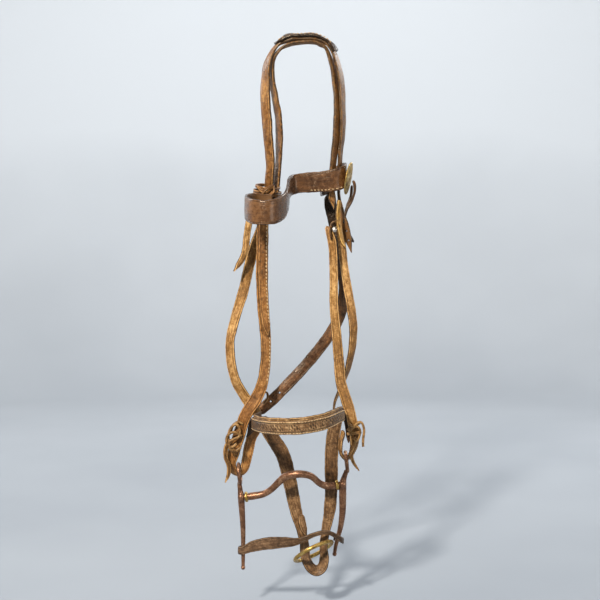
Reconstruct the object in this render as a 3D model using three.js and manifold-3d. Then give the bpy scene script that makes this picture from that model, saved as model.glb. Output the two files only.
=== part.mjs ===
// Leather headcollar: an old riding bridle that hangs by its crown, with a browband, stitched cheek
// straps, a throat strap, a noseband, a curb bit, chin straps and a lead ring.
// Millimetres. +X is to the right seen from the front, +Z is up, +Y points away from the viewer.
// The origin is the underside of the crown, where it lies on its hook.
import * as THREE from 'three';
import Module from 'manifold-3d';
import { mergeVertices } from 'three/addons/utils/BufferGeometryUtils.js';

const { Manifold, Mesh: Solid } = await (async () => {
  const wasm = await Module();
  wasm.setup();
  return wasm;
})();

// ---- driving dimensions ----
const LEATHER = 3.2;        // thickness of a single strap
const THIN = 2.4;           // thickness of a light strap or a lining
const LACE = 1.8;           // thickness of a flat lace
const AIR = 0.4;            // clearance between two pieces that lie on each other
const LEFT_IRON = [2.5, 3.2, 4.1, 3.7, 3.1, 2.6, 2.2];                // radius down the left shank
const RIGHT_IRON = [2.5, 3.2, 4.2, 4.4, 4, 3.4, 2.8, 2.5, 2.2];       // radius down the right shank
const MOUTH = 4.1;          // radius of the mouthpiece
const NECK = 3.4;           // radius of the mouthpiece at its two ends
const EYE = 12;             // radius of the bit's upper eyes, to the middle of the wire
const RING = 25.5;          // radius of the lead ring, to the middle of the wire
const RING_WIRE = 2.8;      // radius of the lead ring's wire
const ROSETTE = 20;         // radius of the brass rosette

const HANGING = new THREE.Vector3(1, 0, 0);   // a hanging strap's width lies along X at turn 0
const LYING = new THREE.Vector3(0, 0, 1);     // a band's width lies along Z at turn 0
const DEPTH = new THREE.Vector3(0, 1, 0);     // turn 90 lays the width along Y

// ---- materials ----
const finish = (colour, roughness, metalness = 0) =>
  new THREE.MeshStandardMaterial({ color: colour, roughness, metalness });
const TAN = () => finish(0x9a6a3c, 0.62);
const BROWN = () => finish(0x6b4426, 0.6);
const DARK = () => finish(0x3e2718, 0.55);
const LACING = () => finish(0x7a5230, 0.7);
const FORGED = () => finish(0x6a4a38, 0.5, 0.8);
const BRASS = () => finish(0xb08a48, 0.4, 1);

// ---- routes: x, y, z of the strap's middle, its turn in degrees and its width ----
const ROUTES = {
  crownStrap: [
    [-50, 3, -204, 0, 12], [-48.5, 3, -176, -25, 11.5], [-46.5, 1, -148, -42, 13.5],
    [-49, 0, -116, -48, 16], [-51.5, 0, -81, -50, 17.5], [-52.5, 0, -46, -56, 18],
    [-48.5, 0, -20, -66, 18], [-38, 0, -3, -76, 18], [-24, 0, 3.6, -86, 18], [-9, 0, 5, -90, 18],
    [9, 0, 5, -92, 18], [25, 0, -2.1, -102, 18], [36, 0, -24, -110, 18], [41.5, 0, -56, -113, 17],
    [42.4, 0, -103, -108, 16], [39, 0, -144, -104, 13], [37.5, 2, -163, -100, 12],
    [37.5, 4, -182, -90, 11], [40, 5, -200, -70, 11], [46, 2, -222, -40, 11], [50, -1, -240, -30, 10],
    [54, -4, -257, -20, 6]],
  crownLining: [
    [-45, 11, -204, -10, 11], [-40.5, 11, -176, -40, 12], [-37, 11, -148, -62, 14],
    [-35.3, 10, -117, -62, 16], [-36.8, 8, -90, -64, 16], [-41, 6, -62, -66, 16],
    [-45, 4, -40, -68, 16], [-43, 2, -20, -74, 16], [-34.3, 0, -6.7, -80, 16], [-23, 0, -0.9, -87, 16],
    [-9, 0, 1.35, -90, 16], [9, 0, 1.35, -90, 16], [14, 0, -0.9, -93, 16], [22.3, 0, -6.4, -99, 16],
    [31.2, -1, -31, -112, 16], [35.2, -4, -65, -116, 16], [35.5, -6, -103, -118, 16],
    [31.6, -7, -140, -118, 14], [29.5, -7.5, -160, -118, 12], [29, -8, -178, -122, 11],
    [30, -8, -192, -160, 10], [32, -9, -204, -180, 3]],
  crownCap: [
    [-41.5, 0, 0.1, -76, 19], [-25.6, 0, 7.9, -85, 20], [-9, 0, 9.6, -90, 20], [9, 0, 9.7, -92, 20],
    [25, 0, 2.9, -100, 20], [34.2, 0, -9, -106, 20]],
  leftCheek: [
    [-54, -6, -178, 0, 15], [-54.5, -6, -192, 0, 15], [-56, -7, -220, 0, 15], [-56.5, -8, -248, 0, 15],
    [-57, -7, -291, 4, 15], [-55.5, -6, -329, 10, 14.5], [-53, -6, -360, 25, 14],
    [-52.5, -7, -386, 30, 14], [-54.5, -9, -408, 22, 14], [-58.5, -12, -425, 8, 14.5],
    [-65.5, -14, -440, -5, 15.5], [-73.5, -15, -452, -12, 15.5], [-79.5, -15, -464, -16, 15.5],
    [-84, -15, -478, -18, 15.5], [-88.5, -14, -493, -20, 15.5], [-92.5, -12, -508, -24, 15],
    [-94.6, -9.5, -520, -34, 13.5], [-93, -6.5, -529.5, -62, 12], [-87, -4, -534, -90, 11],
    [-80.6, -2, -530, -112, 11], [-77, -0.5, -517, -138, 12.5], [-73.8, 1, -501, -152, 13.5],
    [-69.5, 2.5, -487, -158, 13], [-62, 5, -478, -162, 12]],
  leftOuter: [
    [-50, 16.5, -188, 0, 12], [-52, 16, -206, 5, 12], [-57, 11.5, -222, 10, 12],
    [-63, 6, -239, 15, 13], [-69, 4, -256, 15, 13], [-74.5, 4, -278, 10, 13], [-81, 2, -306, 5, 13],
    [-90, 0, -336, -15, 12.5], [-97, -2, -366, -25, 12.5], [-96, -2, -394, -25, 13],
    [-90, 1, -419, -15, 13], [-80, 5, -438, 0, 13], [-72, 7, -450, 5, 13], [-62, 8, -462, 10, 13]],
  leftTail: [
    [-69.5, -22, -201, 0, 8], [-71, -21.5, -213, 0, 8.5], [-73.5, -20, -226, 0, 8.5],
    [-75.5, -17, -239, 0, 8.5], [-77, -14.5, -251, 8, 8.5], [-80, -13.5, -262, 18, 8],
    [-86, -14, -272, 28, 7], [-92, -16, -280, 35, 4]],
  browband: [
    [19, -13.4, -173, 0, 26], [17, 2, -174, 0, 26], [23, 14, -171, 0, 27], [35, 17, -164, 0, 27],
    [43, 12, -159, 0, 27], [46.2, 0, -159, 0, 27], [43, -13, -164, 0, 27], [34, -18.6, -168, 0, 27],
    [20, -18.6, -170, 0, 26], [4, -18.6, -171, 0, 24.5], [-9, -18.8, -172, 0, 24],
    [-18, -22, -174, 0, 24], [-23, -37, -178, 0, 24.5], [-24, -68, -189, 0, 26],
    [-27, -102, -201, 0, 27], [-36, -123, -209, 0, 27.5], [-49, -130, -211.5, 0, 27.5],
    [-63, -122, -210, 0, 27.5], [-71, -98, -206, 0, 27.5], [-73, -68, -202, 0, 27],
    [-71.5, -45, -199.5, 0, 27], [-64, -33, -198.5, 0, 26.5], [-53, -30, -198.5, 0, 25.5],
    [-44, -30, -199, 0, 24]],
  noseband: [
    [-59, -8, -464, 0, 18], [-62, -22, -463.5, 0, 18], [-65, -40, -463, 0, 19],
    [-56, -65, -462, 0, 19.5], [-36, -88, -460, 0, 20], [-8, -99, -457.5, 0, 20],
    [19, -88, -454, 0, 20], [35, -64, -451, 0, 19], [40.5, -41, -453, 0, 18], [39.5, -22, -457, 0, 17],
    [37, -8, -460, 0, 17]],
  leftTab: [
    [-64, -5, -463, 20, 12], [-68, -6, -471, 25, 12], [-72, -7, -480, 30, 10], [-77, -8, -488, 35, 8]],
  rightTab: [
    [43, -3, -452, 10, 11], [48, -4, -463, 15, 9], [51, -6, -480, 15, 8], [51, -7, -495, 15, 7]],
  rightCheek: [
    [30, 0, -232, -60, 12], [27, -4, -226, -60, 12], [26.5, -9, -231, -40, 11.5],
    [30.5, -10, -248, -15, 11], [32, -9, -285, -5, 10.5], [32.3, -8, -322, -5, 11],
    [35.7, -8, -360, 0, 12], [38.5, -8, -391, 5, 13], [41, -10, -418, 10, 13.5],
    [47.5, -12, -440, 15, 14], [53, -13, -458, 20, 14], [57, -13, -479, 28, 13],
    [58, -10, -497, 50, 12], [54.5, -6, -509, 78, 11], [49, -4, -515.5, 90, 11],
    [44, -3, -509, 98, 11], [43, 0, -496, 105, 11], [44, 3, -486, 110, 11], [43, 4, -481, 110, 10]],
  rightOuter: [
    [39, 11, -222, 20, 11], [41.5, 6, -240, 20, 11], [44.5, 5, -269, 15, 11], [49, 3, -298, 10, 11],
    [53.5, 1, -324, 15, 11.5], [56.5, -1, -349, 30, 12], [56, -1, -373, 40, 12],
    [51.5, 1, -396, 50, 12], [46, 4, -415, 60, 12], [39.5, 6, -431, 70, 12], [34, 7, -445, 80, 11],
    [32.5, 7.5, -459, 85, 10]],
  throat: [
    [28, 22.6, -183, -4, 15], [29, 22, -200, -3, 15], [33, 21.5, -220, 0, 14], [38, 22, -247, 0, 14],
    [44, 23, -277, 10, 14], [46, 26, -307, 20, 14], [43, 28, -332, 20, 14.5], [32, 28, -356, 0, 14.5],
    [15, 28, -380, 0, 14.5], [-6, 26, -405, 0, 14.5], [-26, 23, -426, 0, 14.5],
    [-43, 20, -443, 0, 14.5], [-55, 18.3, -453.5, 0, 14], [-64, 17.6, -461, 0, 13]],
  chin: [
    [-58, 13, -470, 10, 17], [-45, 13, -492, 5, 18], [-31, 13, -516, 0, 18],
    [-22.5, 13, -550, 0, 17.5], [-16, 13, -582, 10, 16], [-9, 12, -609, 30, 13], [-3, 8, -630, 60, 11],
    [-2, 4, -645, 80, 10], [4, 1, -657, 85, 10], [12, 0, -661, 90, 10], [19, 1, -657, 95, 10],
    [22, 4, -645, 100, 10], [21.4, 8, -630, 115, 11], [24.2, 12, -611, 150, 12.5], [28, 13, -585, 175, 15],
    [30, 13, -557, 180, 16], [30, 13, -521, 180, 17], [32, 13, -492, 180, 17], [36, 14, -470, 180, 16]],
  chinLap: [
    [-6, 8.4, -586, 10, 10], [-4, 8, -606, 25, 10], [-1, 6.5, -619, 40, 8]],
  hobble: [
    [-76, 10.4, -633, 0, 9], [-82, 9.8, -634, 0, 9], [-86.8, 3.5, -634.5, 0, 10],
    [-82, -2.8, -633, 0, 10], [-68, -8, -626, 0, 14], [-50, -13, -621, 0, 15.5],
    [-31, -12, -620, 0, 14], [-16, -6, -621, 0, 10], [-4, -3, -618, 0, 7], [8, -4, -612.5, 0, 6],
    [22, -3, -609.8, 0, 5.6], [32, 0.5, -613.5, 0, 5.6], [42, 7, -622, 0, 7], [44.5, 17, -626, 0, 8],
    [40, 25, -625.5, 0, 7], [33.5, 26.5, -625, 0, 7]],
  mouthpiece: [
    [-79, -4, -564.5], [-68, -4, -563], [-55, -5, -560], [-45, -8, -553], [-36, -13, -543],
    [-27, -17, -535], [-16, -20, -532], [-5, -20, -532], [5, -16, -536], [14, -10, -545],
    [23, -5, -550], [32, -4, -550], [38.7, -4, -548.6]],
  leftShank: [
    [-86, -4, -547.5], [-85, -4, -556], [-84, -4, -565], [-83, -2, -583], [-82, 2, -608],
    [-82, 3.5, -634], [-82, 1, -656]],
  rightShank: [
    [48, -4, -532.5], [45.5, -4, -540], [44, -4, -548], [44, -1, -565], [44, 4, -585],
    [42, 10, -605], [39, 15, -620], [36, 18, -633], [34.5, 18.5, -644]],
  leftBow: [
    [-90, -20, -498], [-98, -20, -493], [-104, -18, -484], [-99, -17, -477], [-92, -19, -480],
    [-91, -22, -488], [-97, -24, -496], [-91, -24, -502]],
  leftEnds: [
    [-91, -17, -503, 80, 4], [-101, -15, -497, 60, 4.5], [-105.5, -14, -487, 20, 4.5],
    [-104.5, -14, -500, 0, 4.5], [-100.5, -14, -513, 10, 5], [-98.5, -15, -526, 20, 5],
    [-102, -17, -543, 30, 2.5]],
  rightBow: [
    [60, -20, -468], [63, -21, -471], [66, -20, -471], [69, -19, -477], [68, -18, -488],
    [67, -18, -498]],
  rightEnds: [
    [61, -18, -478, 80, 5], [66, -15, -482, 60, 5], [68, -13, -494, 30, 5], [64, -12, -507, 20, 5],
    [61, -12, -516, 10, 6], [64, -13, -523, -20, 4]],
  curl: [
    [55, -12, -169], [58.5, -13, -172], [59, -12, -182], [55, -11, -194], [50, -12, -204],
    [46, -13, -215]],
  curlReturn: [
    [54.4, -5, -174], [53, -6, -187], [49, -7, -198], [46, -9, -209]],
  tip: [
    [57, 4, -244], [54, 8, -238], [50, 10, -232]],
  tie: [
    [-62, -17, -176], [-55, -19, -183], [-49, -20, -187], [-42, -18, -182], [-43, -17, -175],
    [-51, -23, -180], [-59, -20, -189]],
  throatLace: [
    [-56, 0, -447], [-51, 6, -441], [-52, 10, -434], [-59, 12, -436]],
};

// ---- shapes ----
const route = (points) => points.map(([x, y, z]) => new THREE.Vector3(x, y, z));
const spline = (points) => new THREE.CatmullRomCurve3(points, false, 'catmullrom', 0.5);

// A frame at one place of a route: across the strap, through it and along it.
function frameAt(path, along, flat, turn) {
  const tangent = path.getTangent(along);
  const across = flat.clone().multiplyScalar(Math.cos(turn)).addScaledVector(DEPTH, Math.sin(turn));
  across.addScaledVector(tangent, -across.dot(tangent)).normalize();
  const through = new THREE.Vector3().crossVectors(tangent, across);
  return { across, through, tangent };
}

// A flat strap: a long box bent along its route from point `first` to point `last`.
// `lift` sets it off the route's middle, `slide` moves it sideways and `trim` makes it narrower.
function strap(points, flat, thickness, options = {}) {
  const { spans = 4, lift = 0, slide = 0, trim = 0, first = 0, last = points.length - 1 } = options;
  const path = spline(route(points));
  const form = spline(points.map((point) => new THREE.Vector3(point[3], point[4], 0)));
  const steps = (last - first) * spans;
  const box = new THREE.BoxGeometry(1, 1, 1, 1, 1, steps);
  const place = box.attributes.position;
  for (let i = 0; i < place.count; i += 1) {
    const along = (first * spans + Math.round((place.getZ(i) + 0.5) * steps)) / ((points.length - 1) * spans);
    const { x: turn, y: full } = form.getPoint(along);
    const width = full - trim;
    const { across, through } = frameAt(path, along, flat, THREE.MathUtils.degToRad(turn));
    const point = path.getPoint(along)
      .addScaledVector(across, place.getX(i) * width + slide)
      .addScaledVector(through, place.getY(i) * thickness + lift);
    place.setXYZ(i, point.x, point.y, point.z);
  }
  return box;
}

// A round bar or lace: a cylinder bent along its route, with flat ends. `radius` is one number, or
// one for each point of the route.
function bar(points, radius, { spans = 4, sides = 8, flat = HANGING } = {}) {
  const path = spline(route(points));
  const girth = spline(points.map((point, i) => new THREE.Vector3(radius[i] ?? radius, 0, 0)));
  const steps = (points.length - 1) * spans;
  const rod = new THREE.CylinderGeometry(1, 1, 1, sides, steps);
  const place = rod.attributes.position;
  for (let i = 0; i < place.count; i += 1) {
    const along = Math.round((place.getY(i) + 0.5) * steps) / steps;
    const { across, through } = frameAt(path, along, flat, 0);
    const { x: reach } = girth.getPoint(along);
    const point = path.getPoint(along)
      .addScaledVector(across, place.getX(i) * reach)
      .addScaledVector(through, -place.getZ(i) * reach);
    place.setXYZ(i, point.x, point.y, point.z);
  }
  return rod;
}

// An oval loop of strap, standing with its width along Z.
function loop(halfX, halfY, thickness, width) {
  const outline = new THREE.Shape();
  outline.absellipse(0, 0, halfX + thickness, halfY + thickness, 0, 2 * Math.PI);
  const hole = new THREE.Path();
  hole.absellipse(0, 0, halfX, halfY, 0, 2 * Math.PI);
  outline.holes.push(hole);
  const band = new THREE.ExtrudeGeometry(outline, { depth: width, bevelEnabled: false, curveSegments: 16 });
  return band.translate(0, 0, -width / 2);
}

// A turned piece with its axis along X: [place along the axis, radius] from one end to the other.
function turned(profile, sides = 20) {
  const points = profile.map(([x, r]) => new THREE.Vector2(r, x));
  return new THREE.LatheGeometry(points, sides).rotateZ(-Math.PI / 2);
}

// ---- joined solids ----
function toSolid(geometry) {
  const bare = geometry.clone();
  bare.deleteAttribute('normal');
  bare.deleteAttribute('uv');
  const welded = mergeVertices(bare, 1e-4);
  return new Manifold(new Solid({
    numProp: 3,
    vertProperties: new Float32Array(welded.attributes.position.array),
    triVerts: new Uint32Array(welded.index.array),
  }));
}

function toGeometry(solid) {
  const mesh = solid.getMesh();
  const geometry = new THREE.BufferGeometry();
  geometry.setAttribute('position', new THREE.BufferAttribute(mesh.vertProperties, 3));
  geometry.setIndex(new THREE.BufferAttribute(mesh.triVerts, 1));
  geometry.computeVertexNormals();
  return geometry;
}

const joined = (...pieces) => toGeometry(pieces.map(toSolid).reduce((all, one) => all.add(one)));

const object = new THREE.Group();

function piece(name, geometry, material, [x, y, z] = [0, 0, 0], [rx, ry, rz] = [0, 0, 0]) {
  const mesh = new THREE.Mesh(geometry, material);
  mesh.name = name;
  mesh.position.set(x, y, z);
  mesh.rotation.set(rx, ry, rz);
  object.add(mesh);
}

// ---- crown: two straps over the hook and a cap strap on top of them ----
function crown() {
  piece('crown_strap', strap(ROUTES.crownStrap, HANGING, LEATHER), TAN());
  piece('crown_lining', strap(ROUTES.crownLining, HANGING, LEATHER, { spans: 3 }), BROWN());
  piece('crown_cap', strap(ROUTES.crownCap, HANGING, LEATHER), DARK());
}

// ---- left side, above the noseband ----
function leftSide() {
  piece('left_cheek_strap', strap(ROUTES.leftCheek, HANGING, THIN), TAN());
  piece('left_cheek_lining',
    strap(ROUTES.leftCheek, HANGING, THIN, { lift: THIN + 3 * AIR, trim: 1, first: 1, last: 6 }), BROWN());
  piece('left_outer_strap', strap(ROUTES.leftOuter, HANGING, THIN, { spans: 3 }), TAN());
  piece('left_tail', strap(ROUTES.leftTail, HANGING, THIN, { spans: 3 }), TAN());
  piece('left_tie_lace', bar(ROUTES.tie, 1.6, { spans: 3, sides: 6, flat: LYING }), LACING());
  piece('left_tie_loop', loop(16, 18.5, LACE, 5), LACING(), [-50.5, 4.5, -182], [0.12, 0.1, 0]);
}

// ---- right side, above the noseband ----
function rightSide() {
  piece('right_cheek_strap', strap(ROUTES.rightCheek, HANGING, THIN), TAN());
  piece('right_outer_strap', strap(ROUTES.rightOuter, HANGING, THIN, { spans: 3 }), TAN());
  piece('right_lace_tip', bar(ROUTES.tip, 1.3, { spans: 2, sides: 6 }), DARK());
  piece('throat_strap', strap(ROUTES.throat, HANGING, 4, { spans: 3 }), DARK());
  piece('throat_lace', bar(ROUTES.throatLace, 1.4, { spans: 3, sides: 6 }), LACING());
}

// ---- browband: the band, a loop at each end and the rosette on its right ----
function browband() {
  piece('browband', strap(ROUTES.browband, LYING, LEATHER), BROWN());
  piece('browband_left_loop', loop(19, 24, THIN, 18), BROWN(), [-50.5, 0, -201.5], [0.04, 0.06, 0]);
  const dome = turned([[0, 0], [0, ROSETTE], [1.2, ROSETTE], [2.6, ROSETTE * 0.7], [3.2, 0]], 24);
  piece('rosette', dome, BRASS(), [50, -9, -165.5], [0, 0.19, 0]);
  piece('rosette_lace', bar(ROUTES.curl, 1.4, { spans: 3, sides: 6 }), DARK());
  piece('rosette_lace_end', bar(ROUTES.curlReturn, 1.4, { spans: 3, sides: 6 }), DARK());
}

// ---- noseband: backing, front panel and the tabs that tie it to the cheeks ----
function noseband() {
  piece('noseband', strap(ROUTES.noseband, LYING, THIN), BROWN());
  piece('noseband_panel',
    strap(ROUTES.noseband, LYING, THIN, { lift: THIN + AIR, slide: -1.6, trim: 4.5, first: 2, last: 8 }),
    DARK());
  piece('noseband_left_tab', strap(ROUTES.leftTab, HANGING, THIN), DARK());
  piece('noseband_right_tab', strap(ROUTES.rightTab, HANGING, THIN), DARK());
}

// ---- laces that tie the bit's straps ----
function knots() {
  piece('left_bow_lace', bar(ROUTES.leftBow, 1.6, { spans: 3, sides: 6 }), LACING());
  piece('left_bow_ends', strap(ROUTES.leftEnds, HANGING, LACE, { spans: 3 }), LACING());
  piece('right_bow_lace', bar(ROUTES.rightBow, 1.6, { spans: 3, sides: 6 }), LACING());
  piece('right_bow_ends', strap(ROUTES.rightEnds, HANGING, LACE, { spans: 3 }), LACING());
}

// ---- curb bit: two shanks with eyes, a ported mouthpiece and two brass collars ----
function shank(points, radius, eye, boss) {
  const ring = new THREE.TorusGeometry(EYE, 2.3, 6, 22).rotateY(Math.PI / 2);
  ring.translate(...eye);
  const swell = new THREE.SphereGeometry(4.6, 10, 8).scale(0.72, 1, 1.25).translate(...boss);
  const end = points[points.length - 1];
  const knob = new THREE.SphereGeometry(3, 8, 6).translate(...end);
  return joined(bar(points, radius), ring, swell, knob);
}

function bit() {
  piece('bit_left_shank', shank(ROUTES.leftShank, LEFT_IRON, [-86, -4, -534.5], [-84, -4, -564.5]), FORGED());
  piece('bit_right_shank', shank(ROUTES.rightShank, RIGHT_IRON, [48.5, -4, -519.5], [44, -4, -548]), FORGED());
  const girth = ROUTES.mouthpiece.map((_, i, all) => (i < 2 || i > all.length - 3 ? NECK : MOUTH));
  piece('bit_mouthpiece', bar(ROUTES.mouthpiece, girth, { sides: 10, spans: 3, flat: LYING }), FORGED());
  const collar = () => loop(NECK + 2 * AIR, NECK + 2 * AIR, 1.3, 3).rotateY(Math.PI / 2);
  piece('bit_left_collar', collar(), BRASS(), [-77.4, -4, -564.3], [0, -0.12, 0]);
  piece('bit_right_collar', collar(), BRASS(), [37, -4, -549], [0, -0.15, 0]);
  piece('hobble_strap', strap(ROUTES.hobble, LYING, THIN, { spans: 3 }), DARK());
}

// ---- chin strap with its bight, and the lead ring round it ----
function chin() {
  piece('chin_strap', strap(ROUTES.chin, HANGING, THIN), DARK());
  piece('chin_lap', strap(ROUTES.chinLap, HANGING, THIN), DARK());
  const ring = new THREE.TorusGeometry(RING, RING_WIRE, 8, 30);
  piece('lead_ring', ring, BRASS(), [7.3, 4, -636], [-0.5, -0.44, 0]);
}

crown();
leftSide();
rightSide();
browband();
noseband();
knots();
bit();
chin();

export default object;
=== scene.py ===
"""Leather headcollar: the visual model, built round the CAD frame and in the frame's own axes."""

import math

import bmesh
import bpy
import numpy as np
from mathutils import Matrix, Vector


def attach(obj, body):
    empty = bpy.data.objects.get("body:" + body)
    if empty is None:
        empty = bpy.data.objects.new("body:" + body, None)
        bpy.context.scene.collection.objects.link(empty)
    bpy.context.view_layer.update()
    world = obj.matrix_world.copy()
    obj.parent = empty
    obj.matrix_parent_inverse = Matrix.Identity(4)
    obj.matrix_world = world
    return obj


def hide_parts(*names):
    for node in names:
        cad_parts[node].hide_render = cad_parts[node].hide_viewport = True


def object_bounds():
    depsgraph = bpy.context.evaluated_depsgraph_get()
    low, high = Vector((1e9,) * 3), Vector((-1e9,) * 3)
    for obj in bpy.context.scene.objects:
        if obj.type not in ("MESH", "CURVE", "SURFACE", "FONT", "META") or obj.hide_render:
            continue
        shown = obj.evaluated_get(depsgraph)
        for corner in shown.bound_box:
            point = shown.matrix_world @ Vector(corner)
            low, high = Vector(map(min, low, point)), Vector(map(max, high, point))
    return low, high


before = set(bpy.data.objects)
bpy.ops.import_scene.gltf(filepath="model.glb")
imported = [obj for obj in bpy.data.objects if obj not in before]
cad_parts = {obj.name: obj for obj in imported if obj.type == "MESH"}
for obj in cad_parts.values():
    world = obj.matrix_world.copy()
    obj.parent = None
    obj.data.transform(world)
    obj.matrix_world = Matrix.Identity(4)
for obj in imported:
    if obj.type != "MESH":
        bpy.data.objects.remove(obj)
cad_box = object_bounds()

MM = 0.001
X, Y, Z = np.eye(3)

# ---- sizes and places, in millimetres ----
LEATHER = 3.2          # thickness of a single strap
THIN = 2.4             # thickness of a light strap or a lining
THROAT_THICK = 4       # thickness of the throat strap, two layers in one
LACE = 1.8             # thickness of a flat lace
WRAP = 2.2             # thickness of a lace that is wound round a strap
AIR = 0.4              # clearance between two pieces that lie on each other
ROUND, TAPER, CUT_TAPER = ("round", "round"), ("round", "point"), ("cut", "point")  # a strap's two ends
HOLE_GAP = 12          # distance from one punched hole to the next on the crown strap
STEM, BOSS = 3.3, 4.5  # radius of the mouthpiece at its ends and along its middle
EYE_RADIUS, EYE_WIRE = 12, 2.3
SWING = (0.99399, 0, 0.10963)      # the line through both eyes of the bit
COLLAR_RADIUS, COLLAR_WIRE = 5.1, 1.5
RING_CENTRE, RING_RADIUS, RING_WIRE = (7.3, 4, -636), 25.5, 2.8
RING_LEAN, RING_TILT = -0.5, -0.44  # radians about X and then Y
ROSETTE_CENTRE, ROSETTE_LEAN, ROSETTE_YAW = (49, -9, -165.5), 0.19, -0.2
STUD_CENTRE, STUD_AXIS = (32.9, -14.2, -228.6), (0.1, -1, 0.25)

# ---- the view and the room, in metres ----
CAMERA_AIM, CAMERA_DISTANCE = (-0.0098726, 0, -0.316358), 1.3
CAMERA_HEIGHT = math.radians(3)
HALF_VIEW, SENSOR = 0.375, 36
FLOOR_DROP = 0.05      # the floor lies this far under the lowest point
FLOOR_RADIUS, SWEEP_RADIUS, WALL_TOP = 1.9, 0.7, 2.6

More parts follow.
